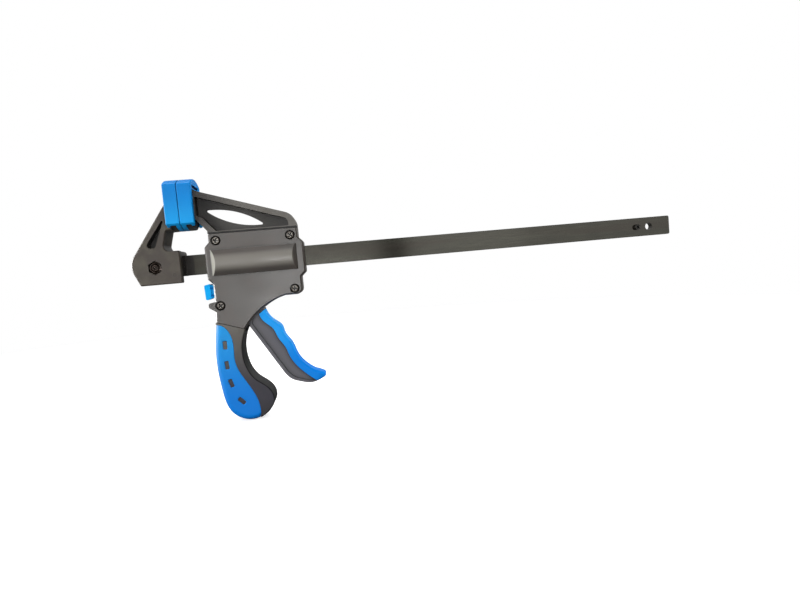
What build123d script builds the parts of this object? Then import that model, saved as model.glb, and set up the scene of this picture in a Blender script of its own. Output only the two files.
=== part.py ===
from build123d import *
import os
from math import cos, hypot, radians, sin, tan

# Quick-release bar clamp, jaws closed. Millimetres.
# X runs along the bar towards its free end, Z up towards the jaw tips, -Y faces the user.
# The origin is on the bar's centre line, in the plane where the two pads meet.

# ---- Driving dimensions -------------------------------------------------------------

# Bar
bar_height = 17.0
bar_thickness = 6.0
bar_corner = 1.5
jaw_travel = 303.0
bar_tail = 32.4  # free end beyond the stop pin
hang_hole_radius = 3.3
hang_hole_inset = 20.4
slide_gap = 0.2  # around the bar, in the jaw socket and in the housing

# Stop pin: a slotted spring pin across the bar
pin_radius = 2.5
pin_bore = 1.2
pin_slot = 0.9
pin_stand = 3.0  # stands out of the bar on either side

# Clearances between pieces
fit_gap = 0.15
seam_gap = 0.3
cover_seam = 0.5  # groove between the cover and the housing's arm and grip
running_gap = 0.05

# Pads and the jaw heads inside them
pad_depth = 11.2
pad_face = 3.8
pad_side = 2.4
pad_width = 34.0
pad_low = 34.5
pad_high = 66.8
pad_crown = 5.3
pad_edge = 0.6  # around the clamping face
pad_back_edge = 0.9
head_thickness = 4.2
latch_width = 22.0
latch_height = 2.6
latch_low = 63.4
latch_depth = 0.9

# Jaws
jaw_thickness = 24.5
jaw_web = 5.0
jaw_edge = 0.8
boss_face = 4.1  # from the clamping plane to the fixed jaw's inner face
boss_top = 12.8
boss_foot = 14.2
boss_length = 33.5
jaw_socket = 33.4  # depth of the bar's socket
jaw_heel = (-45.6, 3.42)  # corner of the fixed jaw behind the bolt
lip_thickness = 5.4  # the boss is full height only this far behind its front face
lip_length = 6.0
boss_round = 3.2
mark_place = (-9.9, -6.9)  # round ejector mark on the fixed jaw's front
mark_radius = 1.7
mark_depth = 0.25
arm_top = 62.3  # at the jaw head
arm_heel = 39.2
arm_heel_x = 9.9
arm_foot = 2.4  # its lower edge ends this far above the seam
arm_floor = 1.8  # under its recess
arm_shoulder = 12.0
arm_flange = 4.5

# M6 bolt that holds the fixed jaw on the bar
bolt_x = -24.8
bolt_radius = 3.0
bolt_hole_radius = 3.3
nut_across_flats = 10.0
nut_height = 5.0
nut_sink = 0.9
bolt_head_height = 4.0
bolt_tip = 0.7  # thread beyond the nut

# Housing and cover
body_thickness = 25.5
wall = 2.5
barrel_left = 16.2
barrel_right = 97.5
barrel_half = 13.4
body_left = 20.0
body_right = 93.3
step_height = 3.9
seam_top = 24.5
body_bottom = 32.3
arch_sag = 4.3
bulge_left = 20.4
bulge_right = 91.6
bulge_half = 10.8
bulge_rise = 4.2
bulge_slope = 4.6
bulge_step = 0.9
cover_edge = 1.3

# Cover screws, 4 mm pan head
screw_head_radius = 3.9
screw_head_height = 2.4
screw_radius = 2.0
screw_length = 16.0
screw_recess_radius = 4.2
screw_recess_depth = 2.6
boss_radius = 4.9

# Pistol grip
handle_edge = 1.0  # along the core's rim on the finger side
palm_round = 5.0
grip_seam_height = 50.0  # the seam's left end, below the bar
grip_length = 86.0  # from there down to the pistol grip's lowest point
grip_skin = 2.2
window_sink = 0.4  # the core's lugs stop this far below the soft grip's face
window_width = 3.3
window_length = 7.0

# Trigger
pivot_x = 54.0
pivot_z = -27.0
pivot_radius = 3.0
hub_radius = 8.0
lever_reach = 82.1  # from the pivot down to the lever's lower end
lever_thickness = 17.0
lever_recess = 1.2
lever_flange = 2.6
lever_mouth_gap = 0.5
trigger_grip_thickness = 19.0
trigger_grip_skin = 2.0
finger_round = 2.4
finger_tip_radius = 2.7
lug_radius = 3.0
lug_reach = 12.5
lug_half_width = 5.5
pivot_seat = 1.0  # wall left behind the pivot pin's ends

# Drive plates and spring
drive_x = 60.0
plate_thickness = 2.9
plate_width = 18.0
plate_top = 13.5
plate_foot = 19.0
plate_slot_gap = 0.35
drive_wire = 1.4
coil_radius = 10.6
drive_turns = 6.5

# Brake lever, its spring and the release button
brake_x = 36.0
brake_pivot_z = 17.0
brake_thickness = 3.0
brake_foot = 26.0
brake_cant = 5.0  # degrees
brake_wire = 1.2
brake_turns = 3.0
rib_x = 46.0
rib_thickness = 2.5
brake_slot_gap = 0.12
button_left = 11.3
button_pad = 4.4
button_half_width = 6.5
button_stroke = 3.5
button_hollow = 3.2
stem_half_height = 5.1
stem_half_width = 5.5
stem_z = -24.0
flange_thickness = 2.3

# Ear on the body's left side, below the button
ear_left = 14.8
ear_middle = -35.7
ear_back = 5.0  # reaches this far behind the bar's middle

# ---- Places worked out from them ----------------------------------------------------

bar_start = -boss_face - jaw_socket + fit_gap
stop_x = barrel_right + jaw_travel + pin_radius + seam_gap
bar_end = stop_x + bar_tail
hang_x = bar_end - hang_hole_inset
half_jaw = jaw_thickness / 2
half_body = body_thickness / 2
parting_y = -(bar_thickness / 2 + slide_gap)
pad_rest = fit_gap  # each pad's face from the clamping plane
head_front = pad_rest + pad_face + fit_gap
head_back = head_front + head_thickness
cavity_half = half_body - wall
rib_right = rib_x + rib_thickness
plates_right = drive_x + 2 * plate_thickness
spring_seat = bulge_right - wall - 0.4
nose_x = drive_x - lug_radius - fit_gap
nose_z = pivot_z + lug_reach
cant = radians(brake_cant)
screw_seat = -half_body + screw_recess_depth
screw_places = [
    (body_left + 5.9, seam_top - 6.0),
    (body_right - 6.1, seam_top - 6.2),
    (body_right - 6.4, -body_bottom + 5.1),
    (body_left + 4.3, -body_bottom - 3.9),
]

# ---- Outlines -----------------------------------------------------------------------


def side_face(points, radii, y=0.0):
    """A closed outline seen from the front, X right and Z up, with its corners rounded."""
    with BuildSketch(Plane.XZ.offset(-y), mode=Mode.PRIVATE) as face:
        with BuildLine():
            FilletPolyline(*points, radius=radii, close=True)
        make_face()
    return face.sketch


def pad_face_outline(x, side_inset, top_inset, foot):
    """The pad's arched outline seen along the bar, moved inwards, with its foot at a height."""
    half = pad_width / 2 - side_inset
    high = pad_high - side_inset / 2
    crown = pad_high + pad_crown - top_inset
    with BuildSketch(Plane.YZ.offset(x), mode=Mode.PRIVATE) as face:
        with BuildLine():
            Line((-half, foot), (-half, high))
            ThreePointArc((-half, high), (0, crown), (half, high))
            Line((half, high), (half, foot))
            ThreePointArc((half, foot), (0, foot - pad_crown), (-half, foot))
        make_face()
    return face.sketch


def box_between(low, high, mode):
    """A plain box between two corners."""
    size = [far - near for near, far in zip(low, high)]
    middle = [(far + near) / 2 for near, far in zip(low, high)]
    with Locations(tuple(middle)):
        Box(*size, mode=mode)


# The slanted outer edge of the fixed jaw, as a height for a place along the bar
jaw_slope = 1.445


def outer_edge(x):
    return jaw_heel[1] + (x - jaw_heel[0]) * jaw_slope


fixed_jaw_face = side_face(
    [
        (-boss_face - boss_length, -boss_foot),
        jaw_heel,
        (-head_back, outer_edge(-head_back)),
        (-head_back, pad_low - pad_crown + 0.8),
        (-head_back - 4.7, pad_low - pad_crown + 0.8),
        (-head_back - 9.2, boss_top),
        (-boss_face, boss_top),
        (-boss_face, -boss_foot),
    ],
    [1.5, 15.0, 0, 0, 1.2, 4.5, 1.0, 1.0],
)

fixed_pocket_face = side_face(
    [(bolt_x - 7.1, boss_top + 3.4), (-head_back - 4.4, pad_low + 7.8), (bolt_x + 1.9, boss_top + 3.4)],
    [2.6, 0.7, 2.6],
)

# The moving jaw's arm: top edge falls towards the back of the body
arm_slope = 0.3185
arm_top_left = (head_back, arm_top)
arm_top_right = (body_right, arm_top - arm_slope * (body_right - head_back))
arm_points = [
    arm_top_left,
    arm_top_right,
    (body_right, seam_top),
    (body_left, seam_top),
    (body_left, seam_top + arm_foot),
    (arm_heel_x, arm_heel),
    (head_back, arm_heel),
]
arm_face = side_face(arm_points, [0, arm_shoulder, 0, 0, 1.5, 1.0, 0])
arm_recess_face = side_face(
    [
        (pad_depth + 1.2, arm_top_left[1] - arm_flange - 1.6),
        (body_right - arm_flange - 1.9, arm_top_right[1] - arm_flange + 1.6),
        (body_right - arm_flange - 1.9, seam_top + arm_floor),
        (body_left + 6.9, seam_top + arm_floor),
        (body_left - 2.6, arm_heel - 1.6),
        (pad_depth + 1.2, arm_heel + 1.3),
    ],
    [1.0, 5.0, 1.0, 1.5, 4.0, 1.0],
)

# The ear on the body's left side, in the parting plane
ear_face = side_face(
    [
        (body_left + 1.5, ear_middle + 3.0),
        (ear_left, ear_middle + 2.3),
        (ear_left, ear_middle - 1.5),
        (body_left + 1.5, ear_middle - 6.2),
    ],
    [0, 1.8, 1.6, 0],
    parting_y,
)

# Lens-shaped window in the arm's web
lens_left = (body_left - 2.5, arm_heel + 6.2)
lens_right = (body_right - 27.1, seam_top + 5.4)
lens_bulge = 5.0


def lens_side(sign):
    """A point half way along one side of the lens."""
    dx = lens_right[0] - lens_left[0]
    dz = lens_right[1] - lens_left[1]
    length = hypot(dx, dz)
    middle = ((lens_left[0] + lens_right[0]) / 2, (lens_left[1] + lens_right[1]) / 2)
    return (
        middle[0] - sign * lens_bulge * dz / length,
        middle[1] + sign * lens_bulge * dx / length,
    )


with BuildSketch(Plane.XZ, mode=Mode.PRIVATE) as lens:
    with BuildLine():
        ThreePointArc(lens_left, lens_side(1), lens_right)
        ThreePointArc(lens_right, lens_side(-1), lens_left)
    make_face()
    fillet(lens.vertices(), 0.9)

# The body between the arm's seam and the grip's seam
side_foot = -body_bottom - 3.7  # the left side runs straight down to here
grip_seam_left = (body_left - 1.3, -grip_seam_height)


def grip_at(across, down):
    """A place on the pistol grip, in shares of its length from the seam's left end."""
    return (grip_seam_left[0] + grip_length * across, grip_seam_left[1] - grip_length * down)


grip_seam_right = grip_at(0.276, 0.092)
arch_right = (body_right - 14.8, -body_bottom)
arch_chord = (arch_right[0] - grip_seam_right[0], arch_right[1] - grip_seam_right[1])
arch_middle = (
    grip_seam_right[0] + arch_chord[0] / 2 - arch_sag * arch_chord[1] / hypot(*arch_chord),
    grip_seam_right[1] + arch_chord[1] / 2 + arch_sag * arch_chord[0] / hypot(*arch_chord),
)


def body_outline(y, inset=0.0, seam=0.0):
    """The outline shared by the housing and its cover, short of the seams by a gap."""
    side_lean = (body_left - grip_seam_left[0]) / (side_foot - grip_seam_left[1])
    seam_left = (grip_seam_left[0] + seam * side_lean, grip_seam_left[1] + seam)
    seam_right = (grip_seam_right[0], grip_seam_right[1] + seam)
    with BuildSketch(Plane.XZ.offset(-y), mode=Mode.PRIVATE) as face:
        with BuildLine():
            FilletPolyline(
                arch_right,
                (body_right, -body_bottom),
                (body_right, -barrel_half - step_height),
                (barrel_right, -barrel_half),
                (barrel_right, barrel_half - 1.0),
                (body_right, barrel_half + step_height - 0.6),
                (body_right, seam_top - seam),
                (body_left, seam_top - seam),
                (body_left, barrel_half + step_height),
                (barrel_left, barrel_half),
                (barrel_left, -barrel_half),
                (body_left, -barrel_half - step_height),
                (body_left, side_foot),
                seam_left,
                seam_right,
                radius=[5.0, 1.0, 2.0, 2.0, 1.0, 0, 0, 1.0, 2.0, 2.0, 1.0, 6.0, 0],
            )
            ThreePointArc(seam_right, arch_middle, arch_right)
        make_face()
        if inset:
            offset(amount=-inset, kind=Kind.INTERSECTION, mode=Mode.REPLACE)
    return face.sketch


# The pistol grip's edge, from the seam down the palm side and up the finger side
handle_points = [
    grip_seam_left,
    grip_at(-0.040, 0.337),
    grip_at(-0.015, 0.680),
    grip_at(0.069, 0.919),
    grip_at(0.230, 1.000),
    grip_at(0.394, 0.953),
    grip_at(0.487, 0.820),
    grip_at(0.455, 0.710),
    grip_at(0.322, 0.591),
    grip_at(0.235, 0.407),
    grip_at(0.231, 0.233),
    grip_seam_right,
]


def handle_outline(inset):
    """The pistol grip seen from the front, closed along the seam and moved inwards."""
    points = [(grip_seam_left[0] + inset, grip_seam_left[1] - inset)]
    for before, point, after in zip(handle_points, handle_points[1:], handle_points[2:]):
        dx, dz = after[0] - before[0], after[1] - before[1]
        step = inset / hypot(dx, dz)
        points.append((point[0] - dz * step, point[1] + dx * step))
    points.append((grip_seam_right[0] - inset, grip_seam_right[1] - inset))
    with BuildSketch(Plane.XZ, mode=Mode.PRIVATE) as face:
        with BuildLine():
            Spline(*points)
            Line(points[-1], points[0])
        make_face()
    return face.sketch


# Edge of the soft grip on the pistol grip's sides
palm_clear_x = body_left - 15.0  # clear of the grip's palm side
with BuildSketch(Plane.XZ, mode=Mode.PRIVATE) as soft_side:
    with BuildLine():
        soft_edge = Spline(
            grip_at(-0.020, 0.019),
            grip_at(0.071, 0.047),
            grip_at(0.142, 0.180),
            grip_at(0.148, 0.401),
            grip_at(0.252, 0.635),
            grip_at(0.326, 0.791),
            grip_at(0.324, 1.023),
        )
        Polyline(
            soft_edge @ 1,
            (palm_clear_x, (soft_edge @ 1).Y),
            (palm_clear_x, (soft_edge @ 0).Y),
            soft_edge @ 0,
        )
    make_face()

window_places = [
    (grip_at(0.066, 0.230), 0),
    (grip_at(0.065, 0.428), 4),
    (grip_at(0.087, 0.610), 16),
    (grip_at(0.171, 0.795), 44),
]

# The trigger lever: rear edge, and the seam and finger edge of its soft grip
def lever_at(across, down):
    """A place on the lever, in shares of its reach from the pivot."""
    return (pivot_x + lever_reach * across, pivot_z - lever_reach * down)


rear_top = lever_at(-0.102, 0.353)
rear_bend = lever_at(0.200, 0.865)
neck_right = lever_at(0.046, 0.158)
finger_root = lever_at(0.052, 0.149)
finger_start = lever_at(0.063, 0.194)
finger_tip = lever_at(0.609, 0.944)
lever_tip = lever_at(0.538, 1.000)
finger_seam = [
    lever_at(0.007, 0.236),
    lever_at(0.056, 0.326),
    lever_at(0.139, 0.409),
    lever_at(0.175, 0.499),
    lever_at(0.241, 0.607),
    lever_at(0.270, 0.689),
    lever_at(0.329, 0.799),
    lever_at(0.421, 0.901),
    lever_tip,
]


def around_tip(angle):
    """A point on the finger edge's round end, at an angle from the bar's direction."""
    turn = radians(angle)
    return (
        finger_tip[0] + finger_tip_radius * cos(turn),
        finger_tip[1] + finger_tip_radius * sin(turn),
    )


tip_top, tip_foot = around_tip(72), around_tip(-68)

# The finger edge's own form, wider than the soft grip: it runs on above and behind it
with BuildSketch(Plane.XZ, mode=Mode.PRIVATE) as finger_blank:
    with BuildLine():
        Spline(
            finger_root,
            finger_start,
            lever_at(0.088, 0.256),
            lever_at(0.152, 0.326),
            lever_at(0.219, 0.387),
            lever_at(0.242, 0.465),
            lever_at(0.305, 0.566),
            lever_at(0.346, 0.677),
            lever_at(0.425, 0.803),
            lever_at(0.524, 0.882),
            tip_top,
            tangents=[(0.25, -0.97), (0.95, -0.31)],
        )
        ThreePointArc(tip_top, around_tip(0), tip_foot)
        Polyline(
            tip_foot,
            (2 * lever_tip[0] - tip_foot[0], 2 * lever_tip[1] - tip_foot[1]),
            (finger_root[0] - 8.0, rear_top[1]),
            (finger_root[0] - 8.0, finger_root[1]),
            finger_root,
        )
    make_face()

with BuildSketch(Plane.XZ, mode=Mode.PRIVATE) as soft_finger:
    with BuildLine():
        Spline(*finger_seam)
        Polyline(
            lever_tip,
            (lever_tip[0], lever_tip[1] - 10.0),
            (lever_tip[0] + 20.0, lever_tip[1] - 10.0),
            tuple(near + 12 * (far - near) for near, far in zip(finger_seam[0], finger_start)),
            finger_seam[0],
        )
    make_face()
    add(finger_blank.sketch_local, mode=Mode.INTERSECT)

with BuildSketch(Plane.XZ, mode=Mode.PRIVATE) as lever_side:
    with BuildLine():
        Polyline((pivot_x + 2.0, pivot_z), neck_right, finger_start, finger_seam[0])
        Spline(*finger_seam)
        Spline(
            lever_tip,
            lever_at(0.451, 1.009),
            lever_at(0.365, 0.987),
            rear_bend,
            tangents=[(-1, -0.25), (-0.51, 0.86)],
        )
        Polyline(rear_bend, rear_top, (pivot_x - hub_radius + 0.4, pivot_z), (pivot_x + 2.0, pivot_z))
    make_face()

# ---- Bar, stop pin ------------------------------------------------------------------

with BuildPart() as bar:
    with BuildSketch(Plane.XZ):
        with Locations(((bar_start + bar_end) / 2, 0)):
            RectangleRounded(bar_end - bar_start, bar_height, bar_corner)
        with Locations((bolt_x, 0)):
            Circle(bolt_hole_radius, mode=Mode.SUBTRACT)
        with Locations((hang_x, 0)):
            Circle(hang_hole_radius, mode=Mode.SUBTRACT)
        with Locations((stop_x, 0)):
            Circle(pin_radius + running_gap, mode=Mode.SUBTRACT)
    extrude(amount=bar_thickness / 2, both=True)

with BuildPart() as stop_pin:
    with BuildSketch(Plane.XZ):
        with Locations((stop_x, 0)):
            Circle(pin_radius)
            Circle(pin_bore, mode=Mode.SUBTRACT)
        with Locations((stop_x + pin_radius, 0)):
            Rectangle(2 * (pin_radius - pin_bore / 2), pin_slot, mode=Mode.SUBTRACT)
    extrude(amount=bar_thickness / 2 + pin_stand, both=True)

# ---- Fixed jaw ----------------------------------------------------------------------


def add_jaw_head(side):
    """The T-shaped head that a pad slides over, and its latch. side is +1 or -1 along X."""
    near = side * head_front
    head = pad_face_outline(near, pad_side + fit_gap, pad_side + 1.2, pad_low)
    extrude(head, amount=side * head_thickness)
    latch = (side * head_back, side * (head_back + latch_depth))
    box_between(
        (min(latch), -latch_width / 2 + fit_gap, latch_low + fit_gap),
        (max(latch), latch_width / 2 - fit_gap, latch_low + latch_height - fit_gap),
        Mode.ADD,
    )


with BuildPart() as fixed_jaw:
    extrude(fixed_jaw_face, amount=half_jaw, both=True)
    faces = fixed_jaw.faces().filter_by(Axis.Y)
    chamfer(faces.sort_by(Axis.Y)[0].edges() + faces.sort_by(Axis.Y)[-1].edges(), jaw_edge)
    extrude(fixed_pocket_face, amount=half_jaw, both=True, mode=Mode.SUBTRACT)
    extrude(fixed_pocket_face, amount=jaw_web / 2, both=True)
    with BuildSketch(Plane.XZ.offset(half_jaw - lip_thickness)):
        with Locations((-boss_face, -bar_height / 2)):
            Rectangle(2 * lip_length, boss_foot, align=(Align.CENTER, Align.MAX))
        with Locations((-boss_face, boss_top)):
            Rectangle(2 * boss_round, 2 * boss_round)
        with Locations((-boss_face - boss_round, boss_top - boss_round)):
            Circle(boss_round, mode=Mode.SUBTRACT)
    extrude(amount=-jaw_thickness, mode=Mode.SUBTRACT)
    with BuildSketch(Plane.XZ.offset(half_jaw - mark_depth)):
        with Locations(mark_place):
            Circle(mark_radius)
    extrude(amount=mark_depth, mode=Mode.SUBTRACT)
    add_jaw_head(-1)
    box_between(
        (bar_start - fit_gap, -bar_thickness / 2 - slide_gap, -bar_height / 2 - slide_gap),
        (1.0 - boss_face, bar_thickness / 2 + slide_gap, bar_height / 2 + slide_gap),
        Mode.SUBTRACT,
    )
    with BuildSketch(Plane.XZ):
        with Locations((bolt_x, 0)):
            Circle(bolt_hole_radius)
    extrude(amount=jaw_thickness, both=True, mode=Mode.SUBTRACT)
    with BuildSketch(Plane.XZ.offset(half_jaw - nut_sink - nut_height - fit_gap)):
        with Locations((bolt_x, 0)):
            RegularPolygon(nut_across_flats / 2 + fit_gap, 6, major_radius=False, rotation=30)
    extrude(amount=jaw_thickness, mode=Mode.SUBTRACT)
    with BuildSketch(Plane.XZ.offset(-half_jaw + nut_sink + bolt_head_height + fit_gap)):
        with Locations((bolt_x, 0)):
            RegularPolygon(nut_across_flats / 2 + fit_gap, 6, major_radius=False, rotation=30)
    extrude(amount=-jaw_thickness, mode=Mode.SUBTRACT)

with BuildPart() as jaw_nut:
    with BuildSketch(Plane.XZ.offset(half_jaw - nut_sink - nut_height)):
        with Locations((bolt_x, 0)):
            RegularPolygon(nut_across_flats / 2, 6, major_radius=False, rotation=30)
            Circle(bolt_radius + running_gap, mode=Mode.SUBTRACT)
    extrude(amount=nut_height)

with BuildPart() as jaw_bolt:
    with BuildSketch(Plane.XZ.offset(-half_jaw + nut_sink)):
        with Locations((bolt_x, 0)):
            RegularPolygon(nut_across_flats / 2, 6, major_radius=False, rotation=30)
    extrude(amount=bolt_head_height)
    with BuildSketch(Plane.XZ.offset(-half_jaw + nut_sink + bolt_head_height)):
        with Locations((bolt_x, 0)):
            Circle(bolt_radius)
    extrude(amount=jaw_thickness - 2 * nut_sink - bolt_head_height + bolt_tip)
    chamfer(jaw_bolt.faces().sort_by(Axis.Y)[0].edges(), 0.6)

# ---- Pads ---------------------------------------------------------------------------


def build_pad(side):
    """A soft cap that slides down over a jaw head. side is +1 or -1 along X."""
    with BuildPart() as pad:
        outline = pad_face_outline(side * pad_rest, 0, 0, pad_low)
        extrude(outline, amount=side * pad_depth)
        rims = pad.edges().filter_by(Plane.YZ).group_by(Axis.X)
        near, far = (0, -1) if side > 0 else (-1, 0)
        fillet(rims[near], pad_edge)
        fillet(pad.edges().filter_by(Plane.YZ).group_by(Axis.X)[far], pad_back_edge)
        slot_near = side * (head_front - fit_gap)
        slot = pad_face_outline(slot_near, pad_side, pad_side + 1.2 - fit_gap, pad_low - 20)
        extrude(slot, amount=side * (head_thickness + 2 * fit_gap), mode=Mode.SUBTRACT)
        back = sorted((side * (head_back - 1.0), side * (pad_rest + pad_depth + 1.0)))
        half_neck = half_jaw + fit_gap
        box_between(
            (back[0], -half_neck, pad_low - 20),
            (back[1], half_neck, arm_top_left[1] + 0.3),
            Mode.SUBTRACT,
        )
        box_between(
            (back[0], -latch_width / 2, latch_low),
            (back[1], latch_width / 2, latch_low + latch_height),
            Mode.SUBTRACT,
        )
    return pad


fixed_jaw_pad = build_pad(-1)
moving_jaw_pad = build_pad(1)

# ---- Bulge over the spring chamber --------------------------------------------------


def build_bulge(shrink, base_y):
    """The arched rib along the barrel, on the front, its ends cut at a slope."""
    half = bulge_half - shrink
    rise = half_body + bulge_rise - shrink
    left = bulge_left + shrink
    right = bulge_right - shrink
    with BuildPart(mode=Mode.PRIVATE) as bulge:
        with BuildSketch(Plane.YZ.offset(left)):
            with BuildLine():
                Polyline(
                    (-half_body - bulge_step, half),
                    (base_y, half),
                    (base_y, -half),
                    (-half_body - bulge_step, -half),
                )
                ThreePointArc(
                    (-half_body - bulge_step, -half),
                    (-rise, 0),
                    (-half_body - bulge_step, half),
                )
            make_face()
        extrude(amount=right - left)
        with BuildSketch(Plane.XY.offset(-half)):
            Polygon(
                (left, 0),
                (left, -half_body),
                (left + bulge_slope, -half_body - bulge_rise - 0.5),
                (right - bulge_slope, -half_body - bulge_rise - 0.5),
                (right, -half_body),
                (right, 0),
                align=None,
            )
        extrude(amount=2 * half, mode=Mode.INTERSECT)
    return bulge.part


front_bulge = build_bulge(0, -half_body + 1.0)
front_bulge_room = build_bulge(wall, -half_body + wall + 1.0)

# ---- Shared cuts --------------------------------------------------------------------

# The mouth that the lever swings in, between the arch and the grip's inner edge
mouth_half = trigger_grip_thickness / 2 + lever_mouth_gap
mouth_face = side_face(
    [
        (pivot_x - 9.0, pivot_z - 10.0),
        (pivot_x + 9.5, pivot_z - 10.0),
        (pivot_x + 13.0, pivot_z - 13.0),
        (grip_seam_right[0] + 1.0, grip_seam_right[1] - 8.1),
        (grip_seam_right[0] - 4.1, grip_seam_right[1] - 0.6),
        (grip_seam_right[0] - 4.1, grip_seam_right[1] + 5.9),
    ],
    [0, 0, 0, 1.5, 1.5, 0],
)


def cut_button_slot():
    """The slot in the body's left wall that the release button slides in."""
    box_between(
        (body_left - 3.0, -stem_half_width - seam_gap, stem_z - stem_half_height - 0.9),
        (body_left + wall + 0.5, stem_half_width + seam_gap, stem_z + stem_half_height + 1.5),
        Mode.SUBTRACT,
    )


def add_inner_ribs(low_y, high_y):
    """The web between the chambers, the spring's seat and the ribs at the brake lever's end."""
    box_between((rib_x, low_y, -17.5), (rib_right, high_y, seam_top - 1.0), Mode.ADD)
    box_between(
        (spring_seat, low_y, -barrel_half), (spring_seat + rib_thickness, high_y, barrel_half), Mode.ADD
    )
    half = brake_thickness / 2 + seam_gap
    for left in (brake_x - half - 2.2, brake_x + half):
        box_between((left, low_y, brake_pivot_z - 2.5), (left + 2.2, high_y, seam_top - 1.0), Mode.ADD)


def cut_bar_channel():
    """The straight way for the bar through both ends and the inner webs."""
    box_between(
        (barrel_left - 1.0, -bar_thickness / 2 - slide_gap, -bar_height / 2 - slide_gap),
        (barrel_right + 1.0, bar_thickness / 2 + slide_gap, bar_height / 2 + slide_gap),
        Mode.SUBTRACT,
    )


# ---- Pistol grip's soft cover -------------------------------------------------------


def build_handle(edge):
    """The whole pistol grip with its rims rounded."""
    with BuildPart(mode=Mode.PRIVATE) as form:
        extrude(handle_outline(0), amount=half_body, both=True)
        fillet(form.edges().filter_by(GeomType.BSPLINE), edge)
    return form.part


def window_slots(margin):
    """The windows in the soft grip, or the lugs in them, seen from the front."""
    with BuildSketch(Plane.XZ, mode=Mode.PRIVATE) as slots:
        for place, tilt in window_places:
            with Locations(Location((place[0], place[1], 0), (0, 0, tilt))):
                Rectangle(window_width - 2 * margin, window_length - 2 * margin)
    return slots.sketch


with BuildPart() as handle_grip:
    add(build_handle(palm_round))
    extrude(soft_side.sketch, amount=body_thickness, both=True, mode=Mode.INTERSECT)
    extrude(handle_outline(grip_skin), amount=half_body - grip_skin, both=True, mode=Mode.SUBTRACT)
    extrude(window_slots(0), amount=body_thickness, both=True, mode=Mode.SUBTRACT)

with BuildPart(mode=Mode.PRIVATE) as handle_core:
    add(build_handle(handle_edge))
    extrude(soft_side.sketch, amount=body_thickness, both=True, mode=Mode.SUBTRACT)
    extrude(handle_outline(grip_skin), amount=half_body - grip_skin, both=True)
    extrude(window_slots(fit_gap), amount=half_body - window_sink, both=True)

# ---- Housing: back shell, moving jaw arm and grip core ------------------------------

with BuildPart() as housing:
    extrude(body_outline(half_body), amount=half_body - parting_y)
    mirror(front_bulge, about=Plane.XZ)
    extrude(body_outline(cavity_half, inset=wall), amount=cavity_half - parting_y, mode=Mode.SUBTRACT)
    mirror(front_bulge_room, about=Plane.XZ, mode=Mode.SUBTRACT)
    add_inner_ribs(parting_y, cavity_half + 0.5)
    with BuildSketch(Plane.XZ.offset(-half_body + 0.5)):
        with Locations(*screw_places):
            Circle(boss_radius)
    extrude(amount=half_body - 0.5 - parting_y)
    with BuildSketch(Plane.XZ.offset(-half_body + 0.5)):
        with Locations((pivot_x, pivot_z)):
            Circle(pivot_radius + 2.5)
    extrude(amount=half_body - 0.5 - lever_thickness / 2 - seam_gap)
    extrude(arm_face, amount=half_jaw, both=True)
    extrude(arm_recess_face, amount=half_jaw, both=True, mode=Mode.SUBTRACT)
    extrude(arm_recess_face, amount=jaw_web / 2, both=True)
    extrude(lens.sketch, amount=half_jaw, both=True, mode=Mode.SUBTRACT)
    add_jaw_head(1)
    add(handle_core.part)
    extrude(body_outline(parting_y), amount=half_body, mode=Mode.SUBTRACT)
    extrude(ear_face, amount=-(ear_back - parting_y))
    with BuildSketch(Plane.XZ.offset(-parting_y)):
        with Locations(*screw_places):
            Circle(boss_radius + fit_gap)
    extrude(amount=half_body, mode=Mode.SUBTRACT)
    extrude(mouth_face, amount=mouth_half, both=True, mode=Mode.SUBTRACT)
    cut_button_slot()
    cut_bar_channel()
    with BuildSketch(Plane.XZ.offset(-parting_y)):
        with Locations(*screw_places):
            Circle(screw_radius + running_gap)
    extrude(amount=-(screw_seat + screw_length + 0.5 - parting_y), mode=Mode.SUBTRACT)
    with BuildSketch(Plane.XZ):
        with Locations((pivot_x, pivot_z)):
            Circle(pivot_radius + running_gap)
    extrude(amount=-half_body + pivot_seat, mode=Mode.SUBTRACT)

# ---- Front cover --------------------------------------------------------------------

with BuildPart() as cover:
    extrude(body_outline(parting_y, seam=cover_seam), amount=half_body + parting_y)
    front = cover.faces().sort_by(Axis.Y)[0]
    sides = front.edges().filter_by_position(Axis.Z, -60.0, seam_top - 1.0)
    sides = [edge for edge in sides if edge.center().Z > -52.0]
    chamfer(sides, cover_edge)
    add(front_bulge)
    extrude(ear_face, amount=half_body + parting_y)
    with BuildSketch(Plane.XZ.offset(-parting_y)):
        with Locations(*screw_places):
            Circle(boss_radius)
    extrude(amount=half_body + parting_y - cover_edge)
    extrude(body_outline(parting_y, inset=wall), amount=cavity_half + parting_y, mode=Mode.SUBTRACT)
    add(front_bulge_room, mode=Mode.SUBTRACT)
    add_inner_ribs(-cavity_half - 0.5, parting_y)
    with BuildSketch(Plane.XZ.offset(-parting_y)):
        with Locations(*screw_places):
            Circle(boss_radius)
    extrude(amount=half_body + parting_y - 1.5)
    with BuildSketch(Plane.XZ.offset(lever_thickness / 2 + seam_gap)):
        with Locations((pivot_x, pivot_z)):
            Circle(pivot_radius + 2.5)
    extrude(amount=half_body - 0.5 - lever_thickness / 2 - seam_gap)
    extrude(mouth_face, amount=mouth_half, both=True, mode=Mode.SUBTRACT)
    cut_button_slot()
    with BuildSketch(Plane.XZ):
        with Locations(*screw_places):
            Circle(screw_radius + seam_gap)
    extrude(amount=body_thickness, mode=Mode.SUBTRACT)
    with BuildSketch(Plane.XZ.offset(-screw_seat)):
        with Locations(*screw_places):
            Circle(screw_recess_radius)
    extrude(amount=body_thickness, mode=Mode.SUBTRACT)
    with BuildSketch(Plane.XZ):
        with Locations((pivot_x, pivot_z)):
            Circle(pivot_radius + running_gap)
    extrude(amount=half_body - pivot_seat, mode=Mode.SUBTRACT)

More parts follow.
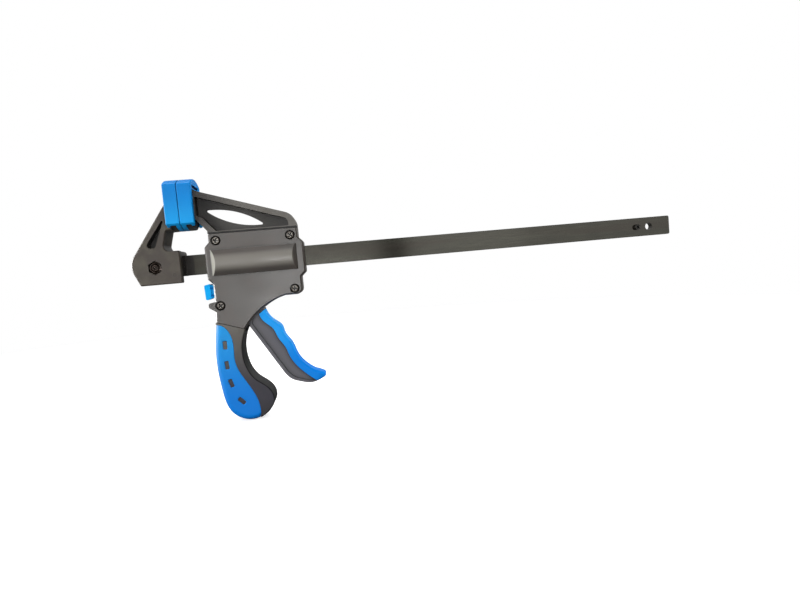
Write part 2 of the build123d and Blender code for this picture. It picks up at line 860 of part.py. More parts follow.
with BuildPart() as cover_screws:
    with BuildSketch(Plane.XZ.offset(-screw_seat)):
        with Locations(*screw_places):
            Circle(screw_head_radius)
    extrude(amount=screw_head_height)
    rims = cover_screws.faces().sort_by(Axis.Y)[: len(screw_places)].edges()
    fillet(rims, 1.1)
    with BuildSketch(Plane.XZ.offset(-screw_seat)):
        with Locations(*screw_places):
            Circle(screw_radius)
    extrude(amount=-screw_length)
    with BuildSketch(Plane.XZ.offset(-screw_seat + screw_head_height - 1.3)):
        with Locations(*screw_places):
            Rectangle(4.4, 1.1, rotation=45)
            Rectangle(1.1, 4.4, rotation=45)
    extrude(amount=2.0, mode=Mode.SUBTRACT)

# ---- Trigger ------------------------------------------------------------------------

with BuildPart() as trigger_pivot_pin:
    with BuildSketch(Plane.XZ):
        with Locations((pivot_x, pivot_z)):
            Circle(pivot_radius)
    extrude(amount=half_body - pivot_seat - fit_gap, both=True)

# The rear flange stands proud of the lever's side panel
flange_shift = (0.86 * lever_flange, 0.51 * lever_flange)
with BuildSketch(Plane.XZ, mode=Mode.PRIVATE) as lever_panel:
    add(lever_side.sketch_local)
    with Locations(flange_shift):
        add(lever_side.sketch_local, mode=Mode.INTERSECT)

# The lever's own edge under the soft grip
skin_shift = (-1.1 * trigger_grip_skin, 0)
with BuildSketch(Plane.XZ, mode=Mode.PRIVATE) as finger_core:
    add(soft_finger.sketch_local)
    with Locations(skin_shift):
        add(soft_finger.sketch_local, mode=Mode.INTERSECT)

core_half = lever_thickness / 2 - lever_recess

with BuildPart() as trigger_lever:
    extrude(lever_side.sketch, amount=lever_thickness / 2, both=True)
    extrude(lever_panel.sketch, amount=lever_thickness, both=True, mode=Mode.SUBTRACT)
    extrude(lever_panel.sketch, amount=core_half, both=True)
    extrude(finger_core.sketch, amount=core_half, both=True)
    with BuildSketch(Plane.XZ):
        with Locations((pivot_x, pivot_z)):
            Circle(hub_radius)
    extrude(amount=lever_thickness / 2, both=True)
    with BuildSketch(Plane.XZ):
        with Locations((pivot_x, pivot_z)):
            Circle(drive_x - seam_gap - pivot_x)
        with Locations((nose_x, nose_z)):
            Circle(lug_radius)
        make_hull()
    extrude(amount=lug_half_width, both=True)
    with BuildSketch(Plane.XZ):
        with Locations((pivot_x, pivot_z)):
            Circle(pivot_radius + running_gap)
    extrude(amount=lever_thickness, both=True, mode=Mode.SUBTRACT)

with BuildPart() as trigger_grip:
    extrude(finger_blank.sketch, amount=trigger_grip_thickness / 2, both=True)
    fillet(trigger_grip.faces().filter_by(Axis.Y).edges().filter_by(GeomType.BSPLINE), finger_round)
    extrude(soft_finger.sketch, amount=trigger_grip_thickness, both=True, mode=Mode.INTERSECT)
    extrude(finger_core.sketch, amount=core_half, both=True, mode=Mode.SUBTRACT)

# ---- Drive plates and their spring --------------------------------------------------


def build_drive_plate(left):
    """A hardened plate that hangs on the bar and drags it along when it tips."""
    with BuildPart() as plate:
        with BuildSketch(Plane.YZ.offset(left)):
            with Locations((0, (plate_top - plate_foot) / 2)):
                RectangleRounded(plate_width, plate_top + plate_foot, 2.0)
            Rectangle(bar_thickness + 2 * plate_slot_gap, bar_height + 2 * plate_slot_gap, mode=Mode.SUBTRACT)
        extrude(amount=plate_thickness)
    return plate


front_drive_plate = build_drive_plate(drive_x)
rear_drive_plate = build_drive_plate(drive_x + plate_thickness)


def build_spring(left, right, wire, turns):
    """A compression spring wound around the bar."""
    with BuildPart() as spring:
        with BuildLine() as coil:
            Helix(
                pitch=(right - left - wire) / turns,
                height=right - left - wire,
                radius=coil_radius,
                center=(left + wire / 2, 0, 0),
                direction=(1, 0, 0),
            )
        with BuildSketch(Plane(origin=coil.line @ 0, z_dir=coil.line % 0)):
            Circle(wire / 2)
        sweep()
    return spring


drive_spring = build_spring(plates_right + fit_gap, spring_seat - fit_gap, drive_wire, drive_turns)

# ---- Brake lever, its spring and the release button ---------------------------------

# The lever leans from its upper end in the housing, its foot towards the fixed jaw
lean_plane = Plane(
    origin=(brake_x, 0, brake_pivot_z), x_dir=(0, 1, 0), z_dir=(cos(cant), 0, -sin(cant))
)
brake_slot_height = (bar_height + brake_thickness * sin(cant)) / cos(cant) + 2 * brake_slot_gap
brake_length = (brake_pivot_z + brake_foot) / cos(cant)  # from the pivot to the foot

with BuildPart() as brake_lever:
    with BuildSketch(lean_plane):
        with Locations((0, -brake_length / 2)):
            RectangleRounded(plate_width, brake_length, 1.4)
        with Locations((0, -brake_thickness / 2)):
            Rectangle(plate_width, brake_thickness)
        with Locations((0, -brake_pivot_z / cos(cant))):
            Rectangle(bar_thickness + 2 * plate_slot_gap, brake_slot_height, mode=Mode.SUBTRACT)
    extrude(amount=brake_thickness / 2, both=True)
    with BuildSketch(Plane.XZ):
        with Locations((brake_x, brake_pivot_z)):
            Circle(brake_thickness / 2)
    extrude(amount=plate_width / 2, both=True)

half_leaning = brake_thickness / 2 / cos(cant)
brake_right = brake_x - (brake_pivot_z - coil_radius - brake_wire) * tan(cant) + half_leaning
brake_spring = build_spring(brake_right + fit_gap, rib_x - fit_gap, brake_wire, brake_turns)

# The button's nose ends just short of the brake lever's face
nose_end = brake_x - (brake_pivot_z - stem_z - 3.0) * tan(cant) - half_leaning - 2 * fit_gap - 0.3
flange_left = body_left + wall + fit_gap

with BuildPart() as release_button:
    button_face = side_face(
        [
            (button_left, stem_z + stem_half_height + 0.8),
            (button_left + button_pad, stem_z + stem_half_height + 1.7),
            (body_left - 1.4, stem_z + stem_half_height),
            (flange_left, stem_z + stem_half_height),
            (flange_left, stem_z - stem_half_height),
            (body_left - 1.6, stem_z - stem_half_height),
            (button_left + 0.5, stem_z - stem_half_height - 2.0),
        ],
        [1.2, 1.2, 0, 0, 0, 0, 1.2],
    )
    extrude(button_face, amount=button_half_width, both=True)
    for front in (-1, 1):
        edge = (front * stem_half_width, front * (button_half_width + 1.0))
        box_between(
            (body_left - button_stroke - fit_gap, min(edge), stem_z - 8.0),
            (flange_left + 1.0, max(edge), stem_z + 8.0),
            Mode.SUBTRACT,
        )
        hollow = (front * (stem_half_width - button_hollow), front * (button_half_width + 1.0))
        for low in (stem_z + stem_half_height - 3.0, stem_z - stem_half_height + 0.8):
            box_between(
                (button_left + button_pad + 0.5, min(hollow), low),
                (body_left - 1.6, max(hollow), low + 2.2),
                Mode.SUBTRACT,
            )
    box_between(
        (flange_left, -stem_half_width - 1.5, stem_z - stem_half_height - 1.7),
        (flange_left + flange_thickness, stem_half_width + 1.5, stem_z + stem_half_height + 2.3),
        Mode.ADD,
    )
    box_between((flange_left, -3.0, stem_z - 3.0), (nose_end, 3.0, stem_z + 3.0), Mode.ADD)

# ---- Every piece to its own file ----------------------------------------------------

pieces = {
    "bar": bar,
    "stop_pin": stop_pin,
    "fixed_jaw": fixed_jaw,
    "fixed_jaw_pad": fixed_jaw_pad,
    "jaw_bolt": jaw_bolt,
    "jaw_nut": jaw_nut,
    "housing": housing,
    "cover": cover,
    "cover_screws": cover_screws,
    "moving_jaw_pad": moving_jaw_pad,
    "handle_grip": handle_grip,
    "trigger_pivot_pin": trigger_pivot_pin,
    "trigger_lever": trigger_lever,
    "trigger_grip": trigger_grip,
    "front_drive_plate": front_drive_plate,
    "rear_drive_plate": rear_drive_plate,
    "drive_spring": drive_spring,
    "brake_lever": brake_lever,
    "brake_spring": brake_spring,
    "release_button": release_button,
}

os.makedirs("parts", exist_ok=True)
for name, piece in pieces.items():
    piece.part.label = name
    export_step(piece.part, f"parts/{name}.step")
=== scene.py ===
from math import cos, pi, radians, sin

import bmesh
import bpy
from mathutils import Matrix, Vector


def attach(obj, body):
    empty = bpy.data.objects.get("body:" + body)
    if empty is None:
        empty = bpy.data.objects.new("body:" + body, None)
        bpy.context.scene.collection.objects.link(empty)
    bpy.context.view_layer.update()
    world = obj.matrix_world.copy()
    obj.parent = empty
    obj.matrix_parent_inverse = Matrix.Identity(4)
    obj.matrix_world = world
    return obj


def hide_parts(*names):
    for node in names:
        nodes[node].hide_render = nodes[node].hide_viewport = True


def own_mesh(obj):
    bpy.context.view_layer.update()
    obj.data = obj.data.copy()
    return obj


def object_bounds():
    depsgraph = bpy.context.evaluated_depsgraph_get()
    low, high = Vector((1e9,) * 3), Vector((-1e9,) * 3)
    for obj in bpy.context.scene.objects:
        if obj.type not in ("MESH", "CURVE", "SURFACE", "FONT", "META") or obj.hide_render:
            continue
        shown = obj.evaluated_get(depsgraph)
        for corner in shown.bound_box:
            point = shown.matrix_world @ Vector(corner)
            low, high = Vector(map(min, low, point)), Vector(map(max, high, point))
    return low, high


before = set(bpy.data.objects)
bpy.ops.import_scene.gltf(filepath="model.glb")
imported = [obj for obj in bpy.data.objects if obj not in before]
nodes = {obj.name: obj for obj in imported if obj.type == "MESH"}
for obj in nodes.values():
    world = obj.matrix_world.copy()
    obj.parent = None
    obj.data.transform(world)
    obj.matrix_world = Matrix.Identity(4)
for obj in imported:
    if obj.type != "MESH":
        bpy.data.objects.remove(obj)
cad_low, cad_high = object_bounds()
collection = bpy.context.scene.collection
MM = 0.001
WHITE = (1, 1, 1, 1)

# ---- Camera: the photograph's viewing angle -------------------------------------------

CAMERA_AT = Vector((0.12110, -0.49316, -0.01574))
AZIMUTH, ELEVATION, ROLL = radians(6.4937), radians(3.5517), radians(-5.0962)
SENSOR_WIDTH, FOCAL_LENGTH = 36.0, 25.02  # mm

forward = Vector((sin(AZIMUTH) * cos(ELEVATION), cos(AZIMUTH) * cos(ELEVATION), -sin(ELEVATION)))
level = Vector((cos(AZIMUTH), -sin(AZIMUTH), 0))
upright = level.cross(forward)
right = cos(ROLL) * level + sin(ROLL) * upright
up = -sin(ROLL) * level + cos(ROLL) * upright

camera_data = bpy.data.cameras.new("camera")
camera_data.sensor_width = SENSOR_WIDTH
camera_data.lens = FOCAL_LENGTH
camera_data.clip_start = 0.01
camera = bpy.data.objects.new("camera", camera_data)
collection.objects.link(camera)
turn_to_view = Matrix((right, up, -forward)).transposed().to_4x4()
camera.matrix_world = Matrix.Translation(CAMERA_AT) @ turn_to_view
bpy.context.scene.camera = camera
bpy.context.scene.view_settings.view_transform = "Standard"

# ---- Lights ---------------------------------------------------------------------------

MIDDLE = (0.1, 0.0, -0.02)
PANEL_DISTANCE = 1.3


def area_light(name, place, target, size, power, diffuse=True, glossy=True):
    """A soft light aimed at a target, which may be hidden from diffuse or from glossy rays."""
    data = bpy.data.lights.new(name, "AREA")
    data.shape = "RECTANGLE"
    data.size, data.size_y = size
    data.energy = power
    light = bpy.data.objects.new(name, data)
    light.location = place
    light.rotation_euler = (Vector(target) - Vector(place)).to_track_quat("-Z", "Y").to_euler()
    light.visible_diffuse = diffuse
    light.visible_glossy = glossy
    collection.objects.link(light)


def panel(name, x_range, z_range, power_per_area, diffuse=True):
    """A flat softbox in front of the object, facing +Y."""
    width, height = x_range[1] - x_range[0], z_range[1] - z_range[0]
    place = (sum(x_range) / 2, -PANEL_DISTANCE, sum(z_range) / 2)
    facing = (place[0], 0, place[2])
    area_light(name, place, facing, (width, height), power_per_area * width * height, diffuse)


# The gap between the first two panels is the dark band in the bar's reflection
panel("front_left", (-0.31, 0.280), (-0.10, 0.50), 3.9)
panel("front_right", (0.36, 0.75), (-0.05, 0.24), 5.5)
panel("far_right", (0.75, 1.36), (-0.05, 0.24), 4.1, diffuse=False)
# A small key gives the shadows, and a wide one in its place the gloss
KEY_PLACE, KEY_TARGET = (-0.62, -0.84, 0.07), (0.02, 0, 0)
area_light("key", KEY_PLACE, KEY_TARGET, (0.15, 0.15), 2.4, glossy=False)
area_light("key_gloss", KEY_PLACE, KEY_TARGET, (0.55, 0.55), 2.7, diffuse=False)
area_light("front_low", (0.05, -1.1, -0.09), (0.03, 0, 0), (0.3, 0.06), 2.3)
area_light("left", (-0.88, -0.28, 0.12), MIDDLE, (0.5, 0.7), 6.5)
area_light("left_gloss", (-0.90, 0.14, 0.06), MIDDLE, (0.5, 0.6), 20.0, diffuse=False)
area_light("right", (1.15, 0.25, 0.20), MIDDLE, (0.6, 0.6), 9.5, glossy=False)
area_light("upper_right", (0.55, -0.75, 0.45), (0.05, 0, -0.05), (0.4, 0.4), 2.2, glossy=False)
area_light("top", (0.10, -0.8, 0.7), (0.04, 0, 0), (0.4, 0.4), 1.7)
area_light("rim", (-0.10, 0.10, 0.95), (0.06, 0, 0.02), (0.5, 0.5), 5.8)
area_light("back", (-0.12, 1.2, 0.35), (0.04, 0, 0), (0.9, 0.6), 13.0, glossy=False)

# ---- Node trees -----------------------------------------------------------------------


def node_maker(tree):
    """Empties a node tree and returns the call that fills it."""
    tree.nodes.clear()

    def node(kind, inputs, **settings):
        """A new shader node, each input set to a value or linked to another node's output."""
        made = tree.nodes.new("ShaderNode" + kind)
        for key, value in settings.items():
            setattr(made, key, value)
        for key, value in inputs.items():
            if isinstance(value, bpy.types.NodeSocket):
                tree.links.new(value, made.inputs[key])
            else:
                made.inputs[key].default_value = value
        return made

    return node


def noise(node, place, scale, detail):
    return node("TexNoise", {"Vector": place, "Scale": scale, "Detail": detail}).outputs["Fac"]


def maths(node, operation, *values):
    return node("Math", dict(enumerate(values)), operation=operation).outputs[0]


def vector_maths(node, operation, *values):
    """A vector operation that gives one number."""
    return node("VectorMath", dict(enumerate(values)), operation=operation).outputs["Value"]


def ranged(node, value, start, end, low=0.0, high=1.0, interpolation="LINEAR"):
    """low to high, as value goes from start to end."""
    limits = {"From Min": start, "From Max": end, "To Min": low, "To Max": high}
    made = node("MapRange", {"Value": value, **limits}, interpolation_type=interpolation)
    return made.outputs[0]


def mixed(node, share, under, over, blend="MIX"):
    """The colour over laid on the colour under by a share."""
    inputs = {"Factor": share, "A": under, "B": over}
    return node("Mix", inputs, data_type="RGBA", blend_type=blend).outputs["Result"]


# ---- World: a pale backdrop behind the object, a dim room behind the camera -----------

BACKDROP_EDGE = (0.35, 0.9)  # of the direction's Y, from the room to the backdrop
# For each kind of ray, the strength of the room behind the camera and of the backdrop
DIFFUSE_STRENGTHS = (0.05, 0.25)
GLOSSY_STRENGTHS = (0.06, 0.45)

world = bpy.data.worlds.new("studio")
bpy.context.scene.world = world
world.use_nodes = True
node = node_maker(world.node_tree)
ray = node("LightPath", {}).outputs
direction = node("TexCoord", {}).outputs["Generated"]
away = node("SeparateXYZ", {0: direction}).outputs["Y"]
behind = ranged(node, away, *BACKDROP_EDGE, interpolation="SMOOTHSTEP")


def background(strength):
    return node("Background", {"Color": WHITE, "Strength": strength}).outputs[0]


diffuse_room = background(ranged(node, behind, 0, 1, *DIFFUSE_STRENGTHS))
glossy_room = background(ranged(node, behind, 0, 1, *GLOSSY_STRENGTHS))
seen = maths(node, "MAXIMUM", ray["Is Camera Ray"], ray["Is Transmission Ray"])
lighting = node("MixShader", {0: ray["Is Glossy Ray"], 1: diffuse_room, 2: glossy_room}).outputs[0]
whole = node("MixShader", {0: seen, 1: lighting, 2: background(1.0)}).outputs[0]
node("OutputWorld", {0: whole})

# ---- Materials ------------------------------------------------------------------------

# The range over which each layer of a surface comes in, of the number it goes by
CLOUD_RANGE = (0.3, 0.7)
TINT_RANGE, TINT_SHARE, TINT_SCALE = (0.45, 0.68), 0.75, 1.7  # the scale is times the clouds'
FACING_RANGE = (0.35, 0.6)  # cosine to the direction
RECESS_RANGE = (0.5, 0.98)  # open share of the surroundings, from full painted shade to none
EDGE_RANGE = (0.995, 0.90)  # cosine between the true normal and a rounded one
# Where the clouds let edges take their colour of wear and painted glints, and the least share
WEAR_AND_GLINT_RANGE, LEAST_WEAR_AND_GLINT = (0.38, 0.66), 0.25
SEAM_RISE, SEAM_HALF_WIDTH = 0.00045, 0.00075  # of the line above the seam's height
SEAM_FRONT = -0.001  # the line lies in front of this Y
SEAM_DARKNESS, AO_SHADE_DARKNESS = 0.02, 0.12  # of the surface's colour, for the painted shade of the seam and of the recesses
RELIEF_STRENGTH = 0.35


def tone(red, green, blue):
    """A screen colour, 0 to 255, as the linear colour a shader takes."""
    def channel(value):
        value /= 255
        return value / 12.92 if value <= 0.04045 else ((value + 0.055) / 1.055) ** 2.4
    return (channel(red), channel(green), channel(blue), 1)


def scaled(color, factor):
    return tuple(min(1.0, channel * factor) for channel in color[:3]) + (1,)


def toward(node, spot, shade, axis, color, start, end):
    """shade going over to color as the place along an axis goes from start to end. Along Y, the
    place is the distance from the middle plane, so front and back get the same."""
    place = node("SeparateXYZ", {0: spot["Object"]}).outputs[axis]
    if axis == "Y":
        place = maths(node, "ABSOLUTE", place)
    return mixed(node, ranged(node, place, start, end, interpolation="SMOOTHSTEP"), shade, color)


def painted_shadow_near(node, spot, shade, center, near, far, color):
    """A painted shadow: shade going over to color around a point, from far to near."""
    distance = vector_maths(node, "DISTANCE", spot["Object"], center)
    share = ranged(node, distance, far, near, interpolation="SMOOTHSTEP")
    return mixed(node, share, shade, color)


def turned_toward(node, spot, shade, direction, *fade):
    """shade fading as toward does it, only where the surface faces a direction, for painted light
    and painted shade on one side of a form.
    """
    cosine = vector_maths(node, "DOT_PRODUCT", spot["Normal"], direction)
    share = ranged(node, cosine, *FACING_RANGE)
    return mixed(node, share, shade, toward(node, spot, shade, *fade))


def painted_seam_shade(node, spot, shade, height, color):
    """A fine line of painted shade above a height, on the front half, where the gap of a seam
    lies.
    """
    place = node("SeparateXYZ", {0: spot["Object"]}).outputs
    at_height = maths(node, "COMPARE", place["Z"], height + SEAM_RISE, SEAM_HALF_WIDTH)
    in_front = maths(node, "LESS_THAN", place["Y"], SEAM_FRONT)
    return mixed(node, maths(node, "MULTIPLY", at_height, in_front), shade, color)


def painted_recess_shade(node, shade, amount, reach, color):
    """Painted shade in the recesses, by ambient occlusion, up to reach from the walls around them.
    """
    recess = node("AmbientOcclusion", {"Distance": reach}, samples=6).outputs["AO"]
    return mixed(node, ranged(node, recess, *RECESS_RANGE, amount, 0), shade, color)


def edge_wear_and_glint(node, shade, clouds, radius, share, color):
    """Edges turned to a colour, as rubbed wear and as painted glints and highlights, more in some
    places than in others.
    """
    rounded = node("Bevel", {"Radius": radius}, samples=4).outputs[0]
    flat = node("NewGeometry", {}).outputs["Normal"]
    edge = ranged(node, vector_maths(node, "DOT_PRODUCT", rounded, flat), *EDGE_RANGE)
    patches = ranged(node, clouds, *WEAR_AND_GLINT_RANGE, LEAST_WEAR_AND_GLINT * share, share)
    return mixed(node, maths(node, "MULTIPLY", edge, patches), shade, color)


def procedural(name, color, roughness, rough_swing=0.08, metallic=0.0, specular=0.5,
               blotch=0.12, blotch_scale=45.0, grain=2600.0, depth=0.02, speckles=0.18,
               stretch=(1, 1, 1), second=None, lower=None, crown_highlight=None, painted_shadow=None, seam=None,
               facing=None, ao_shade=0.0, ao_shade_reach=0.010, wear_and_glint=None, wear_and_glint_radius=0.0006,
               wear_and_glint_share=0.6):
    """A surface with cloudy colour and roughness, and a fine grain in its colour and relief.

    blotch is how far the clouds change the colour, depth the grain's height in millimetres, and
    stretch scales the pattern along each axis. second is a tint that comes and goes. lower is a
    colour and the heights between which it takes over, and the crown highlight, a painted
    highlight, the same for the distance from the middle plane. The painted shadow is a point, the
    radii between which a patch around it fades, and the patch's colour. seam is the height of a
    fine line of painted shade. facing is a direction, and the axis, colour and range of what faces
    it, for painted light and painted shade on one side of a form. Painted shade fills the
    recesses, and the edges take a colour of wear and painted glints.
    """
    material = bpy.data.materials.new(name)
    material.use_nodes = True
    node = node_maker(material.node_tree)
    spot = node("TexCoord", {}).outputs
    stretched = node("Mapping", {"Vector": spot["Object"], "Scale": stretch}).outputs[0]
    clouds = noise(node, stretched, blotch_scale, 4)
    fine = noise(node, stretched, grain, 2)

    ramp = node("ValToRGB", {"Fac": clouds})
    factors = (1 - blotch, 1 + blotch)
    for stop, place, factor in zip(ramp.color_ramp.elements, CLOUD_RANGE, factors):
        stop.position, stop.color = place, scaled(color, factor)
    shade = mixed(node, speckles, ramp.outputs["Color"], fine, "OVERLAY")
    if second:
        drift = noise(node, stretched, blotch_scale * TINT_SCALE, 3)
        shade = mixed(node, ranged(node, drift, *TINT_RANGE, 0, TINT_SHARE), shade, second)
    if lower:
        shade = toward(node, spot, shade, "Z", *lower)
    if crown_highlight:
        shade = toward(node, spot, shade, "Y", *crown_highlight)
    if painted_shadow:
        shade = painted_shadow_near(node, spot, shade, *painted_shadow)
    if seam:
        shade = painted_seam_shade(node, spot, shade, seam, scaled(color, SEAM_DARKNESS))
    if facing:
        shade = turned_toward(node, spot, shade, *facing)
    if ao_shade:
        shade = painted_recess_shade(node, shade, ao_shade, ao_shade_reach, scaled(color, AO_SHADE_DARKNESS))
    if wear_and_glint:
        shade = edge_wear_and_glint(node, shade, clouds, wear_and_glint_radius, wear_and_glint_share, wear_and_glint)

    dull = ranged(node, clouds, *CLOUD_RANGE, roughness - rough_swing, roughness + rough_swing)
    relief = node("Bump", {"Strength": RELIEF_STRENGTH, "Distance": depth * MM, "Height": fine})
    shader = node("BsdfPrincipled", {
        "Base Color": shade, "Roughness": dull, "Normal": relief.outputs[0],
        "Metallic": metallic, "Specular IOR Level": specular,
    })
    node("OutputMaterial", {0: shader.outputs[0]})
    return material


# Moulded plastics, each with painted shade in its recesses and lighter edges from wear and painted
# highlights. The housing has a painted shadow of the moving jaw's pad, a line of painted shade
# where its arm meets the cover, painted shade that darkens its grip at the foot, and painted
# shade, nearly black, on the grip's side towards the trigger.
COVER_SEAM = 0.0245
body_plastic = procedural(
    "body_plastic", tone(100, 97, 92), 0.48, specular=0.4, blotch=0.08, blotch_scale=30,
    second=tone(84, 78, 68), lower=(tone(47, 45, 54), -0.045, -0.112),
    painted_shadow=((0.008, 0, 0.050), 0.010, 0.046, tone(50, 46, 44)), seam=COVER_SEAM,
    facing=((0.75, 0, 0.66), "Z", tone(8, 8, 9), -0.034, -0.044),
    ao_shade=0.9, ao_shade_reach=0.020, wear_and_glint=tone(140, 137, 130), wear_and_glint_share=0.25)
jaw_plastic = procedural(
    "jaw_plastic", tone(66, 59, 53), 0.44, specular=0.4, blotch=0.1, blotch_scale=34,
    second=tone(84, 81, 68), ao_shade=0.95, wear_and_glint=tone(110, 106, 98), wear_and_glint_share=0.3)
# The bulge on the cover has a painted highlight along its crown and a pale painted highlight on
# its left end
cover_plastic = procedural(
    "cover_plastic", tone(68, 64, 60), 0.40, specular=0.75, blotch=0.07, blotch_scale=26,
    second=tone(74, 66, 61), crown_highlight=(tone(114, 110, 102), 0.0152, 0.0169),
    facing=((-1, 0, 0), "Y", tone(131, 129, 115), 0.0131, 0.0135),
    ao_shade=1.0, ao_shade_reach=0.003, wear_and_glint=tone(150, 147, 140), wear_and_glint_share=0.3)
lever_plastic = procedural(
    "lever_plastic", tone(89, 88, 94), 0.46, specular=0.4, blotch=0.07,
    ao_shade=1.0, ao_shade_reach=0.004, wear_and_glint=tone(125, 123, 130), wear_and_glint_share=0.12)

# Soft blue pieces and the button, with painted shade in their recesses
SOFT = dict(blotch_scale=60, grain=1800, depth=0.012, ao_shade_reach=0.002)
soft_blue = procedural(
    "soft_blue", tone(0, 128, 208), 0.5, specular=0.20, blotch=0.06,
    lower=(tone(16, 160, 234), 0.064, 0.030), ao_shade=0.6,
    wear_and_glint=tone(96, 188, 250), wear_and_glint_share=0.6, **SOFT)
grip_blue = procedural(
    "grip_blue", tone(30, 149, 225), 0.5, specular=0.18, blotch=0.05,
    lower=(tone(8, 123, 218), -0.055, -0.120), ao_shade=0.6,
    wear_and_glint=tone(90, 186, 250), wear_and_glint_share=0.5, **SOFT)
finger_blue = procedural(
    "finger_blue", tone(38, 162, 250), 0.5, specular=0.10, blotch=0.05,
    lower=(tone(14, 132, 230), -0.060, -0.090), ao_shade=0.25,
    wear_and_glint=tone(90, 186, 250), wear_and_glint_share=0.4, **SOFT)
button_blue = procedural(
    "button_blue", tone(0, 173, 250), 0.4, specular=0.10, blotch=0.05, depth=0.008,
    ao_shade=0.15, ao_shade_reach=0.002)

# Metals. The bar is drawn lengthwise, darker at its edges, and darker where it enters the fixed
# jaw by a painted shadow. The nut's and the screws' edges carry painted glints as well as wear.
bar_steel = procedural(
    "bar_steel", tone(57, 56, 48), 0.115, rough_swing=0.025, metallic=0.65, specular=0.85,
    blotch=0.22, blotch_scale=90, grain=1400, depth=0.010, speckles=0.5, stretch=(0.05, 1, 1),
    second=tone(56, 51, 44), painted_shadow=((-0.0600, 0, 0), 0.0640, 0.0655, tone(34, 31, 28)),
    wear_and_glint=tone(14, 13, 11), wear_and_glint_radius=0.0008, wear_and_glint_share=1.0)
fastener_black = procedural(
    "fastener_black", tone(30, 26, 23), 0.34, metallic=0.3, blotch_scale=300,
    wear_and_glint=tone(96, 90, 82), wear_and_glint_radius=0.00035)
nut_black = procedural(
    "nut_black", tone(44, 34, 28), 0.26, metallic=0.5, blotch=0.5, blotch_scale=500,
    wear_and_glint=tone(120, 100, 86), wear_and_glint_radius=0.0002, wear_and_glint_share=0.5)
worn_glinting_steel = procedural(
    "worn_glinting_steel", tone(104, 98, 90), 0.34, metallic=0.4, blotch=0.6, blotch_scale=700,
    wear_and_glint=tone(250, 247, 240), wear_and_glint_radius=0.0004, wear_and_glint_share=1.0)
recess_black = procedural("recess_black", tone(30, 26, 23), 0.4, blotch=0.3, blotch_scale=700)
pin_steel = procedural("pin_steel", tone(60, 58, 55), 0.35, metallic=0.8, wear_and_glint=tone(150, 148, 143))
spring_steel = procedural("spring_steel", tone(190, 189, 186), 0.28, metallic=1.0)
plate_steel = procedural("plate_steel", tone(160, 158, 155), 0.35, metallic=1.0)

finish_of = {
    "bar": bar_steel, "stop_pin": pin_steel, "fixed_jaw": jaw_plastic, "fixed_jaw_pad": soft_blue,
    "jaw_bolt": nut_black, "jaw_nut": nut_black, "housing": body_plastic,
    "cover": cover_plastic, "cover_screws": fastener_black, "moving_jaw_pad": soft_blue,
    "handle_grip": grip_blue, "trigger_pivot_pin": pin_steel, "drive_spring": spring_steel,
    "brake_spring": spring_steel, "trigger_lever": lever_plastic, "trigger_grip": finger_blue,
    "front_drive_plate": plate_steel, "rear_drive_plate": plate_steel, "brake_lever": plate_steel,
    "release_button": button_blue,
}
for name, cad_node in nodes.items():
    cad_node.data.materials.clear()
    cad_node.data.materials.append(finish_of[name])

# ---- Making pieces --------------------------------------------------------------------


def new_object(name, mesh, body, materials=(), replaced=()):
    piece = bpy.data.objects.new(name, mesh)
    collection.objects.link(piece)
    for material in materials:
        mesh.materials.append(material)
    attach(piece, body)
    if replaced:
        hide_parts(*replaced)
    return piece


def mesh_of(name, shape):
    """A mesh of a bmesh, which is freed."""
    mesh = bpy.data.meshes.new(name)
    shape.to_mesh(mesh)
    shape.free()
    return mesh


def blank_object(name, shape, materials=()):
    """A passing object made from a bmesh, for modifiers to work on."""
    mesh = mesh_of(name, shape)
    for material in materials:
        mesh.materials.append(material)
    blank = bpy.data.objects.new(name, mesh)
    collection.objects.link(blank)
    return blank


def with_modifiers(source, *settings):
    """The mesh that an object gives with these modifiers, each a kind and its values."""
    for kind, values in settings:
        modifier = source.modifiers.new(kind.lower(), kind)
        for key, value in values.items():
            setattr(modifier, key, value)
    bpy.context.view_layer.update()
    evaluated = source.evaluated_get(bpy.context.evaluated_depsgraph_get())
    return bpy.data.meshes.new_from_object(evaluated)


def turned(profile, steps=48, radius_at=None):
    """A form turned about the Y axis from (radius, y) points in millimetres. radius_at gives the
    radius at an angle from the profile's, where the form isn't round."""
    shape = bmesh.new()
    rings = []
    for radius, y in profile:
        if radius == 0:
            rings.append([shape.verts.new((0, y * MM, 0))])
            continue
        ring = []
        for step in range(steps):
            angle = 2 * pi * step / steps
            at = (radius_at(angle, radius) if radius_at else radius) * MM
            ring.append(shape.verts.new((at * cos(angle), y * MM, at * sin(angle))))
        rings.append(ring)
    for before, after in zip(rings, rings[1:]):
        for step in range(steps):
            following = (step + 1) % steps
            corners = [before[step % len(before)], before[following % len(before)],
                       after[following % len(after)], after[step % len(after)]]
            unique = list(dict.fromkeys(corners))
            if len(unique) > 2:
                shape.faces.new(unique)
    bmesh.ops.recalc_face_normals(shape, faces=shape.faces)
    return shape


def shade_smooth(mesh, sharp_from):
    """Smooth shading, with edges sharp from an angle in degrees."""
    for polygon in mesh.polygons:
        polygon.use_smooth = True
    mesh.set_sharp_from_angle(angle=radians(sharp_from))


def thread(radius, start, end, pitch=0.8, depth=0.35):
    """The (radius, y) points of a threaded shank's outline."""
    points, y = [], start
    step = pitch / 2 if end > start else -pitch / 2
    crest = True
    while (end - y) * step > 0:
        points.append((radius if crest else radius - depth, y))
        y += step
        crest = not crest
    return points + [(radius - depth, end), (0, end)]


# ---- Cover screws: pan heads worn bare around a cross recess, with painted glints -----

